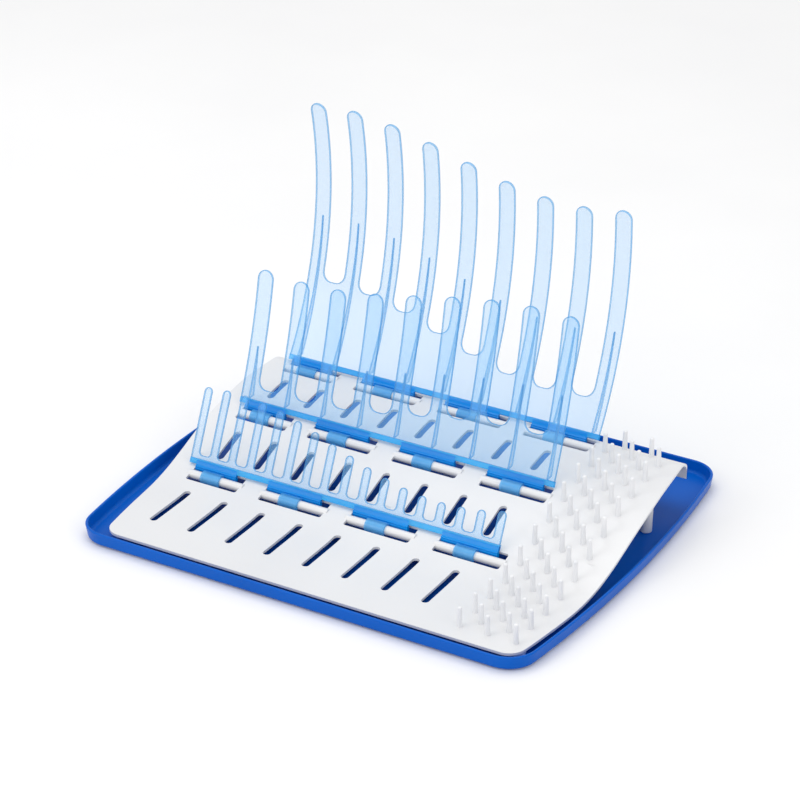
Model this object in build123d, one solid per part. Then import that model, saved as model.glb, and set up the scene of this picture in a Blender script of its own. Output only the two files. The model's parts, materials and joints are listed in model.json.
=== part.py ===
from build123d import *
from math import atan, cos, degrees, pi, radians, sin, sqrt
import os

# Bottle drying rack: a blue drip tray, a white sloping deck that stands in it, and three folding
# combs that clip round bars moulded in the deck. Millimetres, +Z up, the front towards -Y.
# Origin: middle of the tray in plan, on the surface that the rack stands on.

# Tray
tray_width = 428.0          # over the rim, where the curved sides are widest
tray_depth = 354.0
tray_top = 13.0
tray_base = 1.0             # underside of the tray, held up by the feet
tray_wall = 2.4
tray_floor = 2.0
tray_side_radius = 1200.0   # the two sides are shallow arcs
tray_corner = 26.0
tray_lean = 2.0             # how far the wall leans out between the floor and the rim
tray_bottom_round = 3.0
foot_radius = 8.0
foot_pocket = 0.8           # depth of the pocket that each foot is glued in
foot_slack = 0.2
foot_x = 165.0
foot_y = 135.0

# Deck
deck_width = 400.0
deck_side_radius = 970.0
deck_middle_x = 6.0         # the deck stands a little to the right in the tray
deck_widest_y = -2.0
deck_front = -167.0
deck_level = 11.0           # top of the flat front part
deck_sheet = 2.2
deck_corner = 15.0
deck_back_corner = 5.0
ramp = [(-98.5, 0.0), (-66.0, 2.7), (-30.0, 12.3), (-7.0, 20.2), (18.0, 27.4), (53.0, 34.6), (78.0, 37.1)]
ramp_end_slope = 0.07
curl_y = 99.6               # where the back edge starts to roll down
curl_rise = 38.2            # top of the deck there, above the flat front part
curl_radius = 18.0
curl_drop = 2.0             # straight end of the rolled edge

# Drain slots: three rows of eight, lengthways in Y
slot_pitch = 36.0
slot_count = 8
slot_first_x = -157.0
slot_width = 6.5
slot_rows = [(-107.0, 54.0), (-19.7, 32.5), (56.8, 29.5)]   # middle in Y and length of each row

# Pegs on the right of the deck, in staggered columns
peg_columns = 5
peg_rows = 11
peg_pitch_x = 12.0
peg_pitch_y = 24.1
peg_first_x = 184.0
peg_first_y = -150.2
peg_height = 17.2
peg_foot_radius = 2.3
peg_tip_radius = 1.7
peg_root = 0.8              # sunk in the sheet

# Legs under the deck
leg_top_radius = 5.6
leg_foot_radius = 4.8
leg_columns = [-176.0, 6.0, 188.0]
leg_rows = [-152.0, -30.0, 64.0]
leg_root = 0.8
leg_gap = 0.05              # the legs just clear the tray's floor

# Hinges: a round bar in an opening of the deck, and clips of the comb round it
bar_radius = 3.8
bar_depth = 2.4             # axis below the deck's top
bar_grip = 2.0              # each end of the bar runs on under the sheet
opening_half = 9.6          # half of the opening, along the slope
opening_end_round = 2.2
station_starts = [-170.5, -100.0, -18.5, 63.0]
station_lengths = [49.0, 60.0, 60.0, 60.0]
clip_clearance = 0.06
clip_radius = 5.9
clip_width = 18.0
clip_start = -35.0          # degrees round the bar, from its back over its top to its front
clip_end = 205.0
key_start = 0.6             # the key's place and length in its opening
key_free = 8.5

# Combs
comb_span = 284.0           # between the middles of the first and the last tine
blade_thickness = 2.4
blade_lean = 37.5           # degrees back from square to the deck, at the root
blade_offset = 4.17         # middle plane of the blade from the hinge axis
blade_root = 8.6            # bottom edge of the blade from the hinge axis
key_front = 4.7
key_back = 8.3
key_foot = -1.5
key_rise = 3.4              # how far the key runs up the back of the blade
rail_height = 4.6           # thicker strip along the bottom edge of the blade
rail_extra = 0.8
rib_thickness = 1.6         # stiffening rib down the back of each tall tine
rib_depth = 6.0             # behind the blade, just above the rail
rib_start = 2.5             # the rib reaches its full depth this far above the rail
straight_length = 20.0      # a strip shorter than this isn't bent
combs = {
    "front_comb": {
        "hinge_y": -56.7, "tines": 17, "tine_width": 7.4, "gap_corner": 3.0, "bend_radius": None,
        "top": (45.2, 18.6), "web": (11.0, 0.0), "wave_start": 1.4, "half_wave": 11.6, "rib_free": None,
        "middle_x": -31.2,
    },
    "middle_comb": {
        "hinge_y": 18.7, "tines": 9, "tine_width": 15.0, "gap_corner": 8.0, "bend_radius": 510.0,
        "top": (125.3, -13.4), "web": (28.3, -11.5), "wave_start": 1.2, "half_wave": 6.1, "rib_free": 64.0,
        "middle_x": -26.5,
    },
    "back_comb": {
        "hinge_y": 93.2, "tines": 9, "tine_width": 15.0, "gap_corner": 8.0, "bend_radius": 276.0,
        "top": (204.5, 21.8), "web": (47.8, 19.5), "wave_start": 0.5, "half_wave": 6.2, "rib_free": 104.0,
        "middle_x": -25.0,
    },
}

tall = 400.0                # longer than anything that it cuts


def polar(radius, angle):
    return (radius * cos(radians(angle)), radius * sin(radians(angle)))


def barrel(width, depth, side_radius, corner):
    # Plan outline with a straight front and back and shallow curved sides, about the origin.
    far = depth / 2
    right = width / 2
    end = right - side_radius + sqrt(side_radius**2 - far**2)
    edges = [
        Line((-end, -far), (end, -far)),
        ThreePointArc((end, -far), (right, 0), (end, far)),
        Line((end, far), (-end, far)),
        ThreePointArc((-end, far), (-right, 0), (-end, -far)),
    ]
    face = make_face(edges)
    return fillet(face.vertices(), corner)


def make_tray():
    low = barrel(tray_width - 2 * tray_lean, tray_depth - 2 * tray_lean, tray_side_radius, tray_corner - tray_lean)
    high = barrel(tray_width, tray_depth, tray_side_radius, tray_corner)
    outside = loft([Pos(0, 0, tray_base) * low, Pos(0, 0, tray_top) * high])
    outside = fillet(outside.edges().group_by(Axis.Z)[0], tray_bottom_round)
    inset = tray_wall + tray_lean
    floor = barrel(tray_width - 2 * inset, tray_depth - 2 * inset, tray_side_radius, tray_corner - inset)
    mouth = barrel(tray_width - 2 * tray_wall, tray_depth - 2 * tray_wall, tray_side_radius, tray_corner - tray_wall)
    inside = loft([Pos(0, 0, tray_base + tray_floor) * floor, Pos(0, 0, tray_top) * mouth])
    inside = fillet(inside.edges().group_by(Axis.Z)[0], tray_bottom_round)
    tray = outside - inside
    tray = fillet(tray.edges().group_by(Axis.Z)[-1], tray_wall * 0.42)
    for x, y in foot_places():
        tray -= Pos(x, y, tray_base) * Cylinder(foot_radius + foot_slack, 2 * foot_pocket)
    return tray


def foot_places():
    return [(x, y) for y in (-foot_y, foot_y) for x in (-foot_x, foot_x)]


def make_foot(x, y):
    height = tray_base + foot_pocket
    foot = Cylinder(foot_radius, height, align=(Align.CENTER, Align.CENTER, Align.MIN))
    return Pos(x, y, 0) * fillet(foot.edges().group_by(Axis.Z)[0], 0.4)


ramp_top = Spline(ramp, tangents=[(1, 0), (1, ramp_end_slope)])


def deck_height(y):
    # Top of the deck at y, and its slope there, found along the profile.
    if y <= ramp[0][0]:
        return deck_level, 0.0
    if y >= ramp[-1][0]:
        slope = (curl_rise - ramp[-1][1]) / (curl_y - ramp[-1][0])
        rise = ramp[-1][1] + slope * (min(y, curl_y) - ramp[-1][0])
        past = max(0.0, y - curl_y)
        return deck_level + rise - curl_radius + sqrt(curl_radius**2 - past**2), slope
    low, high = 0.0, 1.0
    for _ in range(40):
        middle = (low + high) / 2
        if (ramp_top @ middle).X < y:
            low = middle
        else:
            high = middle
    tangent = ramp_top % low
    return deck_level + (ramp_top @ low).Y, tangent.Y / tangent.X


def deck_section():
    # Side view of the sheet: flat front, ramp, nearly flat top, then the rolled back edge.
    def edge_line(drop, radius):
        low_front = (deck_front, -drop)
        start = (ramp[0][0], -drop)
        points = [(y, z - drop) for y, z in ramp]
        curve = Spline(points, tangents=[(1, 0), (1, ramp_end_slope)])
        brow = (curl_y, curl_rise - drop)
        centre = (curl_y, curl_rise - curl_radius)
        side = (curl_y + radius, centre[1])
        middle = (centre[0] + radius * sin(pi / 4), centre[1] + radius * cos(pi / 4))
        tip = (side[0], side[1] - curl_drop)
        return [
            Line(low_front, start), curve, Line(points[-1], brow), ThreePointArc(brow, middle, side), Line(side, tip),
        ]
    top = edge_line(0.0, curl_radius)
    under = edge_line(deck_sheet, curl_radius - deck_sheet)
    ends = [Line(top[0] @ 0, under[0] @ 0), Line(top[-1] @ 1, under[-1] @ 1)]
    return make_face(top + ends + under)


def deck_plan():
    # The sides are arcs about the widest place; the front corners are round.
    back = curl_y + curl_radius
    right = deck_width / 2

    def half_width(y):
        return right - deck_side_radius + sqrt(deck_side_radius**2 - (y - deck_widest_y) ** 2)
    front_half = half_width(deck_front)
    back_half = half_width(back)
    edges = [
        Line((-front_half, deck_front), (front_half, deck_front)),
        ThreePointArc((front_half, deck_front), (right, deck_widest_y), (back_half, back)),
        Line((back_half, back), (-back_half, back)),
        ThreePointArc((-back_half, back), (-right, deck_widest_y), (-front_half, deck_front)),
    ]
    face = make_face(edges)
    face = fillet(face.vertices().group_by(Axis.Y)[0], deck_corner)
    face = fillet(face.vertices().group_by(Axis.Y)[-1], deck_back_corner)
    return Pos(deck_middle_x, 0) * face


def hinge_frame(comb):
    # Place of the hinge axis in the side view, and the deck's slope there in degrees.
    y = comb["hinge_y"]
    top, slope = deck_height(y)
    tilt = degrees(atan(slope))
    return y + bar_depth * sin(radians(tilt)), top - bar_depth * cos(radians(tilt)), tilt


def hinge_plane(comb, x):
    # Side view about the hinge axis: first direction up the deck, second square to it.
    y, z, tilt = hinge_frame(comb)
    return Plane(origin=(x, y, z), x_dir=(0, cos(radians(tilt)), sin(radians(tilt))), z_dir=(1, 0, 0))


def make_deck():
    deck = extrude(Plane.YZ.offset(-tall / 2 - deck_middle_x) * Pos(0, deck_level) * deck_section(), tall * 1.1)
    deck &= extrude(deck_plan(), tall)
    for row_y, length in slot_rows:
        for index in range(slot_count):
            x = slot_first_x + index * slot_pitch
            deck -= Pos(x, row_y, 0) * extrude(Rot(0, 0, 90) * SlotOverall(length, slot_width), tall)
    for comb in combs.values():
        for start, length in zip(station_starts, station_lengths):
            y, z, tilt = hinge_frame(comb)
            opening = RectangleRounded(length, 2 * opening_half, opening_end_round)
            opening = extrude(opening, 3 * bar_radius, both=True)
            deck -= Pos(start + length / 2, y, z) * Rot(tilt, 0, 0) * opening
    for comb in combs.values():
        for start, length in zip(station_starts, station_lengths):
            bar = extrude(hinge_plane(comb, start - bar_grip) * Circle(bar_radius), length + 2 * bar_grip)
            deck += bar
    return deck


def make_pegs():
    pegs = []
    for column in range(peg_columns):
        x = peg_first_x - column * peg_pitch_x
        for row in range(peg_rows):
            y = peg_first_y + (row + (column % 2) / 2) * peg_pitch_y
            peg = Cone(peg_foot_radius, peg_tip_radius, peg_height + peg_root,
                       align=(Align.CENTER, Align.CENTER, Align.MIN))
            peg = fillet(peg.edges().group_by(Axis.Z)[-1], peg_tip_radius * 0.8)
            pegs.append(Pos(x, y, deck_height(y)[0] - peg_root) * peg)
    return Compound(pegs)


def make_legs():
    legs = []
    floor = tray_base + tray_floor + leg_gap
    for x in leg_columns:
        for y in leg_rows:
            top = deck_height(y)[0] - deck_sheet + leg_root
            leg = Cone(leg_foot_radius, leg_top_radius, top - floor, align=(Align.CENTER, Align.CENTER, Align.MIN))
            leg = Pos(x, y, floor) * fillet(leg.edges().group_by(Axis.Z)[0], 0.8)
            legs.append(leg)
    return Compound(legs)


def wave(comb, index):
    return cos(pi * (index - comb["wave_start"]) / comb["half_wave"])


def comb_front_view(comb, base):
    # Tines with round tips, joined by a web whose gaps have rounded bottoms. Heights are from the deck's top.
    count = comb["tines"]
    pitch = comb_span / (count - 1)
    width = comb["tine_width"]
    corner = comb["gap_corner"]
    first = comb["middle_x"] - comb_span / 2
    shape = None
    for index in range(count):
        top = base + comb["top"][0] + comb["top"][1] * wave(comb, index)
        tine = Pos(first + index * pitch, top - width / 2) * Circle(width / 2)
        tine += Pos(first + index * pitch, (top - width / 2) / 2) * Rectangle(width, top - width / 2)
        shape = tine if shape is None else shape + tine
    gap_width = pitch - width
    for index in range(count - 1):
        floor = base + comb["web"][0] + comb["web"][1] * wave(comb, index + 0.5)
        middle = first + (index + 0.5) * pitch
        web = Pos(middle, (floor + corner) / 2) * Rectangle(pitch, floor + corner)
        gap = Pos(middle, floor + 2 * corner) * RectangleRounded(gap_width, 4 * corner, corner)
        shape += web - gap
    return shape


def blade_point(comb, rise, out):
    # Point of the side view at a length up the blade, and a distance behind its middle surface.
    y, z, tilt = hinge_frame(comb)
    lean = 90 + tilt - blade_lean
    along = Vector(*polar(1, lean))
    back = Vector(*polar(1, lean - 90))
    root = Vector(y, z) + along * blade_root + back * blade_offset
    radius = comb["bend_radius"]
    if radius is None:
        return root + along * rise + back * out
    return root - back * radius + (back * (radius + out)).rotate(Axis.Z, degrees(rise / radius))


def blade_strip(comb, front, rear, length):
    # Side view of the blade, between two distances from its middle surface: straight, or an arc that bends forwards.
    near, far = ([blade_point(comb, length * share, out) for share in (0, 0.5, 1)] for out in (front, rear))
    if comb["bend_radius"] is None or length < straight_length:
        return make_face(Polyline(near[0], near[2], far[2], far[0], close=True))
    inner, outer = ThreePointArc(*near), ThreePointArc(*far)
    return make_face([inner, Line(inner @ 1, outer @ 1), outer, Line(near[0], far[0])])


def rise_at(comb, height):
    # Length up the blade at which its middle surface reaches a height above the table.
    low, high = 0.0, tall
    for _ in range(40):
        middle = (low + high) / 2
        if blade_point(comb, middle, 0).Y < height:
            low = middle
        else:
            high = middle
    return low


def rib_section(comb, top):
    # Side view of a rib: full depth just above the rail, running out to nothing at its top.
    foot = rail_height + rib_start
    length = rise_at(comb, top)
    skin = blade_thickness / 2
    steps = [0.0, 0.25, 0.5, 0.75, 1.0]
    outer = [blade_point(comb, foot + (length - foot) * step, skin + rib_depth * (1 - step)) for step in steps]
    inner = [blade_point(comb, length + (rail_height - length) * step, 0) for step in steps]
    toe = blade_point(comb, rail_height, skin + rail_extra)
    return make_face([
        Spline(outer), Line(outer[-1], inner[0]), Spline(inner), Line(inner[-1], toe), Line(toe, outer[0]),
    ])


def make_comb(comb):
    width = comb_span + comb["tine_width"]
    left = comb["middle_x"] - width / 2
    level = deck_height(comb["hinge_y"])[0]
    reach = (comb["top"][0] + abs(comb["top"][1])) * 1.25
    skin = blade_thickness / 2
    side = Plane.YZ.offset(left)
    blade = extrude(side * blade_strip(comb, -skin, skin, reach), width)
    front_view = extrude(Plane.XZ.offset(-tall / 2) * comb_front_view(comb, level), tall)
    body = blade & front_view
    body += extrude(side * blade_strip(comb, -skin, skin + rail_extra, rail_height), width)
    if comb["rib_free"] is not None:
        for index in range(comb["tines"]):
            top = level + comb["top"][0] + comb["top"][1] * wave(comb, index) - comb["rib_free"]
            x = comb["middle_x"] + (index / (comb["tines"] - 1) - 0.5) * comb_span
            body += extrude(Plane.YZ.offset(x - rib_thickness / 2) * rib_section(comb, top), rib_thickness)
    for start, length in zip(station_starts, station_lengths):
        key_length = length - key_free - key_start
        body += extrude(hinge_plane(comb, start + key_start) * key_section(), key_length)
        clip_left = start + key_start + (key_length - clip_width) / 2
        body += extrude(hinge_plane(comb, clip_left) * clip_section(), clip_width)
    return body


def key_section():
    # Thick foot of the comb that drops into the opening behind the bar.
    lean = 90 - blade_lean
    along = Vector(*polar(1, lean))
    back = Vector(*polar(1, lean - 90))
    front_root = along * blade_root + back * (blade_offset - blade_thickness / 2)
    back_top = along * (blade_root + key_rise) + back * (blade_offset + blade_thickness / 2 + rail_extra)
    front_top = along * (blade_root + key_rise) + back * (blade_offset - blade_thickness / 2)
    outline = [(key_front, key_foot), (key_front, front_root.Y - 0.6), front_root, front_top, back_top,
               (key_back + 0.5, back_top.Y - 2.4), (key_back, key_foot + 1.2), (key_back - 0.8, key_foot)]
    return make_face(Polyline(*outline, close=True))


def clip_section():
    # Ring round the bar, open below, joined to the key behind it.
    inner = bar_radius + clip_clearance
    middle = (clip_start + clip_end) / 2
    edges = [
        ThreePointArc(polar(inner, clip_start), polar(inner, middle), polar(inner, clip_end)),
        ThreePointArc(polar(clip_radius, clip_start), polar(clip_radius, middle), polar(clip_radius, clip_end)),
        Line(polar(inner, clip_start), polar(clip_radius, clip_start)),
        Line(polar(inner, clip_end), polar(clip_radius, clip_end)),
    ]
    return make_face(edges)


def main():
    os.makedirs("parts", exist_ok=True)
    nodes = {"tray": make_tray(), "deck": make_deck(), "deck_pegs": make_pegs(), "deck_legs": make_legs()}
    for number, (x, y) in enumerate(foot_places(), start=1):
        nodes[f"tray_foot_{number}"] = make_foot(x, y)
    for name, comb in combs.items():
        nodes[name] = make_comb(comb)
        y, z, tilt = hinge_frame(comb)
        print(f"{name}: hinge axis at y {y:.3f}, z {z:.3f}, deck slope {tilt:.2f} degrees")
    for name, shape in nodes.items():
        shape.label = name
        export_step(shape, f"parts/{name}.step")


main()
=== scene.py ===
import bpy
import bmesh
import json
from math import cos, pi, radians, sin
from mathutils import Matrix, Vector


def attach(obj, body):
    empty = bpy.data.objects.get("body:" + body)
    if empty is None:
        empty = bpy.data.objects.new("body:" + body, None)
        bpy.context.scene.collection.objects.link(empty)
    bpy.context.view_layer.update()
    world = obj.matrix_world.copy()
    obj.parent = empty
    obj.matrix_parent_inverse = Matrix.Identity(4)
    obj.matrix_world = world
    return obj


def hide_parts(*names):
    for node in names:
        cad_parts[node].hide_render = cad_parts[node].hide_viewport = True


# Bottle drying rack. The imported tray, deck, pegs, legs and feet get their finishes here.
# The three see-through combs are built again below, with rounded edges, round their own hinge axes.

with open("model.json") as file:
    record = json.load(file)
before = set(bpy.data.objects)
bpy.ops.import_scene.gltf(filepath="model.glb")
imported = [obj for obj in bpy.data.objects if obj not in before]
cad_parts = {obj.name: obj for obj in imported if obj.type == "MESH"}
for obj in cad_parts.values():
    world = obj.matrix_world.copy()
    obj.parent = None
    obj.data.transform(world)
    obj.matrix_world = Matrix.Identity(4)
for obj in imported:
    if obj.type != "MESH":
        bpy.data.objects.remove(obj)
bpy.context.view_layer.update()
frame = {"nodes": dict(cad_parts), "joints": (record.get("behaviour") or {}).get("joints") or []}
print("frame loaded:", len(frame["nodes"]), "nodes")

mm = 0.001                     # the combs are worked out in millimetres


camera = {
    "target": (-0.0916, 0.1501, 0.0110),
    "azimuth": 30.31,          # degrees round to the right of the front
    "elevation": 27.11,
    "distance": 2.4768,
    "lens": 128.0,
    "sensor": 36.0,
    "clipEnd": 50.0,
}

studio = {
    "world": (1.0, 1.0, 1.0),
    "worldStrength": 0.74,
    "aim": (0.0, 0.0, 0.08),   # the lamps point here
    "floorSize": 9.0,
    "floorSquares": 8,
    # name: place, size, watts, colour
    "lamps": {
        "topBox": ((-0.3, 0.1, 2.4), 2.2, 20.0, (1.0, 1.0, 1.0)),
        "frontBox": ((-1.4, -2.4, 1.5), 1.6, 20.0, (1.0, 0.995, 0.985)),
        "rightBox": ((2.3, -0.9, 1.3), 1.3, 8.0, (0.97, 0.985, 1.0)),
    },
}


def viewDirection(azimuth, elevation):
    a = radians(azimuth)
    e = radians(elevation)
    return Vector((sin(a) * cos(e), -cos(a) * cos(e), sin(e)))


def placeCamera(info):
    data = bpy.data.cameras.new("camera")
    data.lens = info["lens"]
    data.sensor_width = info["sensor"]
    data.clip_end = info["clipEnd"]
    obj = bpy.data.objects.new("camera", data)
    bpy.context.scene.collection.objects.link(obj)
    back = viewDirection(info["azimuth"], info["elevation"])
    obj.location = Vector(info["target"]) + back * info["distance"]
    obj.rotation_euler = back.to_track_quat("Z", "Y").to_euler()
    bpy.context.scene.camera = obj


def placeLamps(info):
    aim = Vector(info["aim"])
    for name, (place, size, power, color) in info["lamps"].items():
        data = bpy.data.lights.new(name, "AREA")
        data.shape = "SQUARE"
        data.size = size
        data.energy = power
        data.color = color
        obj = bpy.data.objects.new(name, data)
        bpy.context.scene.collection.objects.link(obj)
        obj.location = place
        obj.rotation_euler = (Vector(place) - aim).to_track_quat("Z", "Y").to_euler()
    world = bpy.data.worlds.new("softRoom")
    bpy.context.scene.world = world
    world.use_nodes = True
    back = world.node_tree.nodes["Background"]
    back.inputs["Color"].default_value = (*info["world"], 1.0)
    back.inputs["Strength"].default_value = info["worldStrength"]


placeCamera(camera)
placeLamps(studio)
bpy.context.scene.view_settings.view_transform = "Standard"
print("camera and lamps placed")


# How every finish reads its noise: the part of the noise's range that is used, and how fine the noise is.
grain = {
    "colourRange": (0.32, 0.68),
    "numberRange": (0.30, 0.70),
    "cloudDetail": 3.0,
    "smearDetail": 4.0,
    "bumpDetail": 2.0,
}


def newMaterial(name):
    material = bpy.data.materials.new(name)
    material.use_nodes = True
    tree = material.node_tree
    tree.nodes.clear()
    out = tree.nodes.new("ShaderNodeOutputMaterial")
    return material, tree, out


def noise(tree, scale, detail, stretch=(1.0, 1.0, 1.0)):
    # Noise in the object's own metres, so the same grain is on every piece.
    place = tree.nodes.new("ShaderNodeTexCoord")
    mapping = tree.nodes.new("ShaderNodeMapping")
    mapping.inputs["Scale"].default_value = stretch
    pattern = tree.nodes.new("ShaderNodeTexNoise")
    pattern.inputs["Scale"].default_value = scale
    pattern.inputs["Detail"].default_value = detail
    tree.links.new(place.outputs["Object"], mapping.inputs["Vector"])
    tree.links.new(mapping.outputs["Vector"], pattern.inputs["Vector"])
    return pattern.outputs["Fac"]


def ramp(tree, source, low, high):
    # Two colours, spread over the middle of the noise's range.
    node = tree.nodes.new("ShaderNodeValToRGB")
    start, end = grain["colourRange"]
    node.color_ramp.elements[0].position = start
    node.color_ramp.elements[1].position = end
    node.color_ramp.elements[0].color = (*low, 1.0)
    node.color_ramp.elements[1].color = (*high, 1.0)
    tree.links.new(source, node.inputs["Fac"])
    return node.outputs["Color"]


def spread(tree, source, low, high):
    node = tree.nodes.new("ShaderNodeMapRange")
    start, end = grain["numberRange"]
    node.inputs["From Min"].default_value = start
    node.inputs["From Max"].default_value = end
    node.inputs["To Min"].default_value = low
    node.inputs["To Max"].default_value = high
    tree.links.new(source, node.inputs["Value"])
    return node.outputs["Result"]


def moulded(name, info):
    # Injection-moulded plastic: faint flow clouds in the colour, uneven gloss, and a very fine texture.
    material, tree, out = newMaterial(name)
    skin = tree.nodes.new("ShaderNodeBsdfPrincipled")
    clouds = noise(tree, info["cloudScale"], grain["cloudDetail"])
    tree.links.new(ramp(tree, clouds, info["dark"], info["light"]), skin.inputs["Base Color"])
    smears = noise(tree, info["smearScale"], grain["smearDetail"])
    tree.links.new(spread(tree, smears, *info["roughness"]), skin.inputs["Roughness"])
    skin.inputs["IOR"].default_value = info["ior"]
    skin.inputs["Specular IOR Level"].default_value = info["shine"]
    skin.inputs["Coat Weight"].default_value = info["coat"]
    skin.inputs["Coat Roughness"].default_value = info["coatRoughness"]
    bump = tree.nodes.new("ShaderNodeBump")
    bump.inputs["Strength"].default_value = info["bump"]
    bump.inputs["Distance"].default_value = info["bumpDepth"]
    tree.links.new(noise(tree, info["bumpScale"], grain["bumpDetail"]), bump.inputs["Height"])
    tree.links.new(bump.outputs["Normal"], skin.inputs["Normal"])
    tree.links.new(skin.outputs["BSDF"], out.inputs["Surface"])
    return material


# The roughness of a solid finish starts at 0.29 or more: ranges from 0.24 up showed faint outlines on the tray.
finishes = {
    "trayBlue": {
        "dark": (0.000, 0.098, 0.490), "light": (0.000, 0.116, 0.560), "cloudScale": 9.0, "shine": 0.14,
        "roughness": (0.29, 0.37), "smearScale": 14.0, "ior": 1.45, "coat": 0.02, "coatRoughness": 0.10,
        "bump": 0.06, "bumpDepth": 0.00004, "bumpScale": 320.0,
    },
    "deckWhite": {
        "dark": (0.735, 0.740, 0.758), "light": (0.782, 0.783, 0.792), "cloudScale": 7.0, "shine": 0.5,
        "roughness": (0.29, 0.39), "smearScale": 18.0, "ior": 1.49, "coat": 0.20, "coatRoughness": 0.12,
        "bump": 0.06, "bumpDepth": 0.00004, "bumpScale": 340.0,
    },
    "pegWhite": {
        "dark": (0.790, 0.800, 0.825), "light": (0.860, 0.865, 0.880), "cloudScale": 60.0, "shine": 0.5,
        "roughness": (0.29, 0.36), "smearScale": 80.0, "ior": 1.49, "coat": 0.15, "coatRoughness": 0.15,
        "bump": 0.10, "bumpDepth": 0.00004, "bumpScale": 1400.0,
    },
    "footRubber": {
        "dark": (0.030, 0.045, 0.080), "light": (0.055, 0.070, 0.110), "cloudScale": 70.0, "shine": 0.4,
        "roughness": (0.70, 0.85), "smearScale": 120.0, "ior": 1.45, "coat": 0.0, "coatRoughness": 0.3,
        "bump": 0.35, "bumpDepth": 0.00015, "bumpScale": 1500.0,
    },
    "floorPale": {
        "dark": (0.900, 0.900, 0.905), "light": (0.930, 0.930, 0.932), "cloudScale": 3.0, "shine": 0.3,
        "roughness": (0.75, 0.85), "smearScale": 5.0, "ior": 1.3, "coat": 0.0, "coatRoughness": 0.3,
        "bump": 0.05, "bumpDepth": 0.0001, "bumpScale": 300.0,
    },
}
solidFinish = {name: moulded(name, info) for name, info in finishes.items()}


def tinted(name, info):
    # See-through plastic: part of each face lets light through, tinted, and the rest has a skin of its own.
    material, tree, out = newMaterial(name)
    skin = tree.nodes.new("ShaderNodeBsdfPrincipled")
    clouds = noise(tree, info["cloudScale"], grain["cloudDetail"], info["stretch"])
    tree.links.new(ramp(tree, clouds, info["dark"], info["light"]), skin.inputs["Base Color"])
    smears = noise(tree, info["smearScale"], grain["cloudDetail"])
    tree.links.new(spread(tree, smears, *info["roughness"]), skin.inputs["Roughness"])
    skin.inputs["IOR"].default_value = info["ior"]
    clear = tree.nodes.new("ShaderNodeBsdfTransparent")
    clear.inputs["Color"].default_value = (*info["tint"], 1.0)
    mix = tree.nodes.new("ShaderNodeMixShader")
    tree.links.new(spread(tree, clouds, *info["solid"]), mix.inputs["Fac"])
    tree.links.new(clear.outputs["BSDF"], mix.inputs[1])
    tree.links.new(skin.outputs["BSDF"], mix.inputs[2])
    tree.links.new(mix.outputs["Shader"], out.inputs["Surface"])
    return material


combFinish = {
    # the broad faces of the blades
    "combBody": {
        "dark": (0.22, 0.60, 1.00), "light": (0.30, 0.66, 1.00), "tint": (0.975, 0.988, 0.998),
        "solid": (0.16, 0.21), "cloudScale": 11.0, "stretch": (1.0, 1.0, 0.35),
        "roughness": (0.10, 0.18), "smearScale": 30.0, "ior": 1.49,
    },
    # their narrow edges, which gather the colour
    "combEdge": {
        "dark": (0.060, 0.33, 0.70), "light": (0.100, 0.39, 0.78), "tint": (0.66, 0.84, 0.94),
        "solid": (0.42, 0.54), "cloudScale": 16.0, "stretch": (1.0, 1.0, 0.4),
        "roughness": (0.08, 0.15), "smearScale": 30.0, "ior": 1.49,
    },
    # the strip along the bottom
    "combRail": {
        "dark": (0.020, 0.46, 0.98), "light": (0.050, 0.54, 1.00), "tint": (0.62, 0.86, 0.97),
        "solid": (0.52, 0.62), "cloudScale": 20.0, "stretch": (0.3, 1.0, 1.0),
        "roughness": (0.12, 0.20), "smearScale": 40.0, "ior": 1.40,
    },
    # the thick keys in the deck's openings: their deeper, darker blue is partly the thick plastic seen
    # lengthwise and partly painted shade from the shadow and the dark slot below them
    "combKeyThickAndShaded": {
        "dark": (0.000, 0.235, 0.74), "light": (0.000, 0.300, 0.84), "tint": (0.30, 0.65, 0.88),
        "solid": (0.84, 0.92), "cloudScale": 25.0, "stretch": (0.3, 1.0, 1.0),
        "roughness": (0.14, 0.22), "smearScale": 50.0, "ior": 1.33,
    },
    # the clips round the bars
    "combClip": {
        "dark": (0.12, 0.52, 0.98), "light": (0.18, 0.58, 1.00), "tint": (0.76, 0.90, 0.97),
        "solid": (0.36, 0.46), "cloudScale": 40.0, "stretch": (1.0, 1.0, 1.0),
        "roughness": (0.10, 0.18), "smearScale": 60.0, "ior": 1.45,
    },
}
clearFinish = {name: tinted(name, info) for name, info in combFinish.items()}
print("finishes made:", len(solidFinish) + len(clearFinish))


def dress(node, finish):
    for slot in frame["nodes"][node].material_slots:
        slot.link = "OBJECT"
        slot.material = solidFinish[finish]


dress("tray", "trayBlue")
dress("deck", "deckWhite")
dress("deck_legs", "deckWhite")
dress("deck_pegs", "pegWhite")
for number in range(1, 5):
    dress(f"tray_foot_{number}", "footRubber")
print("frame dressed")


blade = {
    "thickness": 2.4,
    "edgeRound": 0.7,
    "lean": 37.5,              # degrees back from square to the deck, at the root
    "offset": 4.17,            # middle of the blade from the hinge axis
    "root": 8.6,
    "span": 284.0,             # between the middles of the end tines
    "topTrim": 0.25,           # keeps the rounded tips inside the frame's box
    "sliceStep": 4.0,          # how often the blade is cut across, so that it can bend
    "tipSteps": 14,
    "cornerSteps": 6,
    "reach": 400.0,            # longer than any tine
    "searchSteps": 32,
    "sharpAngle": 40.0,
}

# How a plate's rim is rounded.
rim = {"steps": 4, "miterLimit": 0.35, "shortestEdge": 0.02}

rail = {"height": 4.6, "front": 1.35, "back": 2.0, "round": 0.45, "overlap": 0.8}

rib = {"thickness": 1.6, "depth": 6.0, "start": 2.5, "round": 0.4, "steps": 14, "sunk": 0.2, "toe": 0.8}

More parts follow.
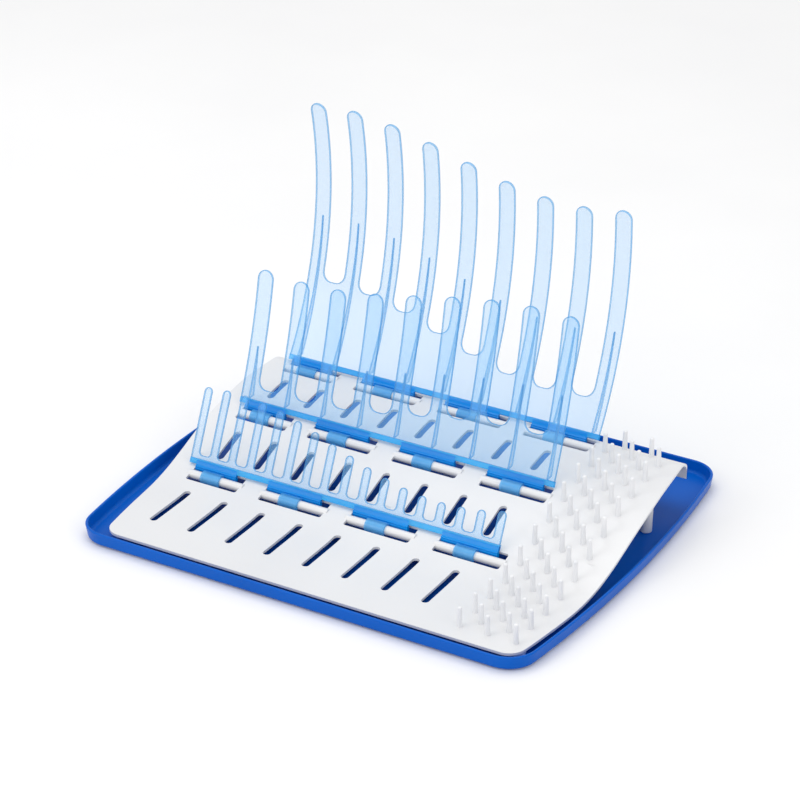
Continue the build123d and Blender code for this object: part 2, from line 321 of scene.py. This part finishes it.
station = {
    "starts": (-170.5, -100.0, -18.5, 63.0),
    "lengths": (49.0, 60.0, 60.0, 60.0),
    "keyStart": 0.6,
    "keyFree": 8.5,
    "keyFront": 4.7,
    "keyBack": 8.3,
    "keyFoot": -1.5,
    "keyRise": 3.4,
    "keyRound": 0.35,
    "keyStep": (2.9, 3.3, 0.7),     # the front's lower and upper corner, and how far the front steps back
    "keyNose": 0.6,                 # below the blade's root
    "keyProud": 0.15,               # in front of the rail
    "keyShoulder": (0.5, 2.4),      # behind the back, and below the top
    "keyHeel": (0.8, 1.2),
    "clipWidth": 18.0,
    "clipInner": 3.9,
    "clipOuter": 5.9,
    "clipArc": (-35.0, 205.0),
    "clipRound": 0.3,
    "clipSteps": (30, 24),          # outside and inside
}

combs = {
    "front_comb": {
        "joint": "front_comb_fold", "slope": 12.91, "deckTop": 15.587, "tines": 17, "tineWidth": 7.4,
        "gapCorner": 3.0, "bend": None, "top": (45.2, 18.6), "web": (11.0, 0.0),
        "waveStart": 1.4, "halfWave": 11.6, "ribFree": None, "middleX": -31.2,
    },
    "middle_comb": {
        "joint": "middle_comb_fold", "slope": 13.80, "deckTop": 38.573, "tines": 9, "tineWidth": 15.0,
        "gapCorner": 8.0, "bend": 510.0, "top": (125.3, -13.4), "web": (28.3, -11.5),
        "waveStart": 1.2, "halfWave": 6.1, "ribFree": 64.0, "middleX": -26.5,
    },
    "back_comb": {
        "joint": "back_comb_fold", "slope": 2.92, "deckTop": 48.874, "tines": 9, "tineWidth": 15.0,
        "gapCorner": 8.0, "bend": 276.0, "top": (204.5, 21.8), "web": (47.8, 19.5),
        "waveStart": 0.5, "halfWave": 6.2, "ribFree": 104.0, "middleX": -25.0,
    },
}


def hingePlace(comb):
    # y and z of the hinge axis, in millimetres
    for joint in frame["joints"]:
        if joint["name"] == comb["joint"]:
            return joint["pos_m"][1] / mm, joint["pos_m"][2] / mm
    raise ValueError(comb["joint"])


def bladePoint(comb, rise, out):
    # Point of the side view (y, z) at a length up the blade, and a distance behind its middle surface.
    lean = radians(90 + comb["slope"] - blade["lean"])
    along = Vector((cos(lean), sin(lean)))
    back = Vector((sin(lean), -cos(lean)))
    root = Vector(hingePlace(comb)) + along * blade["root"] + back * blade["offset"]
    if comb["bend"] is None:
        return root + along * rise + back * out
    turn = rise / comb["bend"]
    arm = back * (comb["bend"] + out)
    turned = Vector((arm.x * cos(turn) - arm.y * sin(turn), arm.x * sin(turn) + arm.y * cos(turn)))
    return root - back * comb["bend"] + turned


def riseAt(comb, height):
    low, high = 0.0, blade["reach"]
    for _ in range(blade["searchSteps"]):
        middle = (low + high) / 2
        if bladePoint(comb, middle, 0).y < height:
            low = middle
        else:
            high = middle
    return low


def wave(comb, index):
    return cos(pi * (index - comb["waveStart"]) / comb["halfWave"])


def tineTop(comb, index):
    return comb["deckTop"] + comb["top"][0] + comb["top"][1] * wave(comb, index) - blade["topTrim"]


def tineX(comb, index):
    return comb["middleX"] + (index / (comb["tines"] - 1) - 0.5) * blade["span"]


def arc(centreX, centreY, radius, start, end, steps):
    points = []
    for k in range(steps + 1):
        angle = radians(start + (end - start) * k / steps)
        points.append((centreX + radius * cos(angle), centreY + radius * sin(angle)))
    return points


def combOutline(comb):
    # Clockwise from the bottom left: round tips, and gaps with rounded floors. The second number is a height.
    half = comb["tineWidth"] / 2
    corner = comb["gapCorner"]
    points = []
    for index in range(comb["tines"]):
        x = tineX(comb, index)
        points += arc(x, tineTop(comb, index) - half, half, 180, 0, blade["tipSteps"])
        if index < comb["tines"] - 1:
            floor = comb["deckTop"] + comb["web"][0] + comb["web"][1] * wave(comb, index + 0.5)
            nextX = tineX(comb, index + 1)
            points += arc(x + half + corner, floor + corner, corner, 180, 270, blade["cornerSteps"])
            points += arc(nextX - half - corner, floor + corner, corner, 270, 360, blade["cornerSteps"])
    outline = [(x, riseAt(comb, height)) for x, height in points]
    foot = rail["height"] - rail["overlap"]
    left = tineX(comb, 0) - half
    right = tineX(comb, comb["tines"] - 1) + half
    return [(left, foot)] + outline + [(right, foot)]


def inset(outline, amount):
    # The outline moved inwards. It runs clockwise, so inwards is to the right of each edge.
    count = len(outline)
    moved = []
    for k in range(count):
        before = Vector(outline[k - 1])
        here = Vector(outline[k])
        after = Vector(outline[(k + 1) % count])
        a = (here - before).normalized()
        b = (after - here).normalized()
        normalA = Vector((a.y, -a.x))
        normalB = Vector((b.y, -b.x))
        miter = normalA + normalB
        miter /= max(miter.dot(normalA), rim["miterLimit"])
        moved.append(here + miter * amount)
    return moved


def cleaned(outline):
    kept = [outline[0]]
    for point in outline[1:]:
        if (Vector(point) - Vector(kept[-1])).length > rim["shortestEdge"]:
            kept.append(point)
    if (Vector(kept[0]) - Vector(kept[-1])).length <= rim["shortestEdge"]:
        kept.pop()
    return kept


def area(outline):
    total = 0.0
    for k, (x, y) in enumerate(outline):
        nextX, nextY = outline[(k + 1) % len(outline)]
        total += x * nextY - nextX * y
    return total / 2


def addPlate(bm, outline, low, high, roundness, faceIndex, edgeIndex, place, slices=()):
    # A flat plate with rounded rims. place(x, y, out) puts each point.
    # The slices are the heights of the cuts across it.
    outline = cleaned(outline)
    if area(outline) > 0:
        outline.reverse()
    plate = bmesh.new()
    rounds = rim["steps"]
    levels = []
    for k in range(rounds + 1):
        angle = radians(90 * k / rounds)
        levels.append((roundness * (1 - sin(angle)), low + roundness * (1 - cos(angle))))
    for k in range(rounds, -1, -1):
        angle = radians(90 * k / rounds)
        levels.append((roundness * (1 - sin(angle)), high - roundness * (1 - cos(angle))))
    rings = []
    for amount, out in levels:
        rings.append([plate.verts.new((p.x, p.y, out)) for p in inset(outline, amount)])
    count = len(outline)
    for lower, upper in zip(rings, rings[1:]):
        for k in range(count):
            following = (k + 1) % count
            face = plate.faces.new((lower[k], lower[following], upper[following], upper[k]))
            face.material_index = edgeIndex
    for ring in (rings[0], rings[-1][::-1]):
        cap = plate.faces.new(ring)
        cap.material_index = faceIndex
    plate.normal_update()
    bmesh.ops.triangulate(plate, faces=[f for f in plate.faces if len(f.verts) > 4])
    for height in slices:
        bmesh.ops.bisect_plane(
            plate, geom=plate.verts[:] + plate.edges[:] + plate.faces[:],
            plane_co=(0, height, 0), plane_no=(0, 1, 0),
        )
    for v in plate.verts:
        v.co = Vector(place(*v.co)) * mm
    bmesh.ops.recalc_face_normals(plate, faces=plate.faces[:])
    spare = bpy.data.meshes.new("plate")
    plate.to_mesh(spare)
    plate.free()
    bm.from_mesh(spare)
    bpy.data.meshes.remove(spare)


def onBlade(comb):
    def place(x, rise, out):
        y, z = bladePoint(comb, rise, out)
        return x, y, z
    return place


def acrossHinge(comb):
    # The first number runs up the deck from the hinge axis, the second square to it, the third along X.
    y, z = hingePlace(comb)
    tilt = radians(comb["slope"])

    def place(u, v, x):
        return x, y + u * cos(tilt) - v * sin(tilt), z + u * sin(tilt) + v * cos(tilt)
    return place


def inSideView(u, v, x):
    return x, u, v


def keyOutline():
    lean = radians(90 - blade["lean"])
    along = Vector((cos(lean), sin(lean)))
    back = Vector((sin(lean), -cos(lean)))
    top = along * (blade["root"] + station["keyRise"])
    root = along * blade["root"] + back * (blade["offset"] - rail["front"])
    behind = top + back * (blade["offset"] + rail["back"])
    before = top + back * (blade["offset"] - rail["front"] - station["keyProud"])
    front, rear, foot = station["keyFront"], station["keyBack"], station["keyFoot"]
    stepLow, stepHigh, stepBack = station["keyStep"]
    shoulderOut, shoulderDown = station["keyShoulder"]
    heelIn, heelUp = station["keyHeel"]
    return [
        (front, foot),
        (front, stepLow),
        (front + stepBack, stepHigh),
        (front + stepBack, root.y - station["keyNose"]),
        tuple(root),
        tuple(before),
        tuple(behind),
        (rear + shoulderOut, behind.y - shoulderDown),
        (rear, foot + heelUp),
        (rear - heelIn, foot),
    ]


def clipOutline():
    start, end = station["clipArc"]
    outerSteps, innerSteps = station["clipSteps"]
    outside = arc(0, 0, station["clipOuter"], start, end, outerSteps)
    return outside + arc(0, 0, station["clipInner"], end, start, innerSteps)


def ribOutline(comb, top):
    foot = rail["height"] + rib["start"]
    length = riseAt(comb, top)
    skin = blade["thickness"] / 2
    steps = rib["steps"]
    outer = []
    inner = []
    for k in range(steps + 1):
        share = k / steps
        rise = foot + (length - foot) * share
        outer.append(tuple(bladePoint(comb, rise, skin + rib["depth"] * (1 - share))))
        rise = length + (rail["height"] - length) * k / steps
        inner.append(tuple(bladePoint(comb, rise, rib["sunk"])))
    toe = tuple(bladePoint(comb, rail["height"], skin + rib["toe"]))
    return outer + inner + [toe]


def buildComb(name, comb):
    bm = bmesh.new()
    half = comb["tineWidth"] / 2
    left = tineX(comb, 0) - half
    right = tineX(comb, comb["tines"] - 1) + half
    skin = blade["thickness"] / 2
    outline = combOutline(comb)
    highest = max(rise for _, rise in outline)
    slices = []
    if comb["bend"] is not None:
        count = int(highest / blade["sliceStep"])
        slices = [highest * (k + 1) / (count + 1) for k in range(count)]
    addPlate(bm, outline, -skin, skin, blade["edgeRound"], 0, 1, onBlade(comb), slices)
    strip = [(left, 0.0), (left, rail["height"]), (right, rail["height"]), (right, 0.0)]
    addPlate(bm, strip, -rail["front"], rail["back"], rail["round"], 2, 2, onBlade(comb))
    if comb["ribFree"] is not None:
        for index in range(comb["tines"]):
            x = tineX(comb, index)
            side = ribOutline(comb, tineTop(comb, index) - comb["ribFree"])
            thin = rib["thickness"] / 2
            addPlate(bm, side, x - thin, x + thin, rib["round"], 0, 1, inSideView)
    for start, length in zip(station["starts"], station["lengths"]):
        keyLow = start + station["keyStart"]
        keyHigh = start + length - station["keyFree"]
        addPlate(bm, keyOutline(), keyLow, keyHigh, station["keyRound"], 3, 3, acrossHinge(comb))
        clipLow = (keyLow + keyHigh - station["clipWidth"]) / 2
        clipHigh = clipLow + station["clipWidth"]
        addPlate(bm, clipOutline(), clipLow, clipHigh, station["clipRound"], 4, 4, acrossHinge(comb))
    mesh = bpy.data.meshes.new(name + "_clear")
    bm.to_mesh(mesh)
    bm.free()
    for finish in ("combBody", "combEdge", "combRail", "combKeyThickAndShaded", "combClip"):   # face indices 0 to 4
        mesh.materials.append(clearFinish[finish])
    mesh.shade_smooth()
    mesh.set_sharp_from_angle(angle=radians(blade["sharpAngle"]))
    obj = bpy.data.objects.new(name + "_clear", mesh)
    bpy.context.scene.collection.objects.link(obj)
    weigh = obj.modifiers.new("weigh", "WEIGHTED_NORMAL")
    weigh.keep_sharp = True
    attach(obj, name)
    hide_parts(name)
    print(name, "built:", len(mesh.polygons), "faces")


for name, comb in combs.items():
    buildComb(name, comb)


def makeFloor(info):
    bm = bmesh.new()
    squares = info["floorSquares"]
    bmesh.ops.create_grid(bm, x_segments=squares, y_segments=squares, size=info["floorSize"] / 2)
    mesh = bpy.data.meshes.new("floor")
    bm.to_mesh(mesh)
    bm.free()
    mesh.materials.append(solidFinish["floorPale"])
    obj = bpy.data.objects.new("floor", mesh)
    bpy.context.scene.collection.objects.link(obj)


makeFloor(studio)
print("floor laid")

bpy.context.view_layer.update()
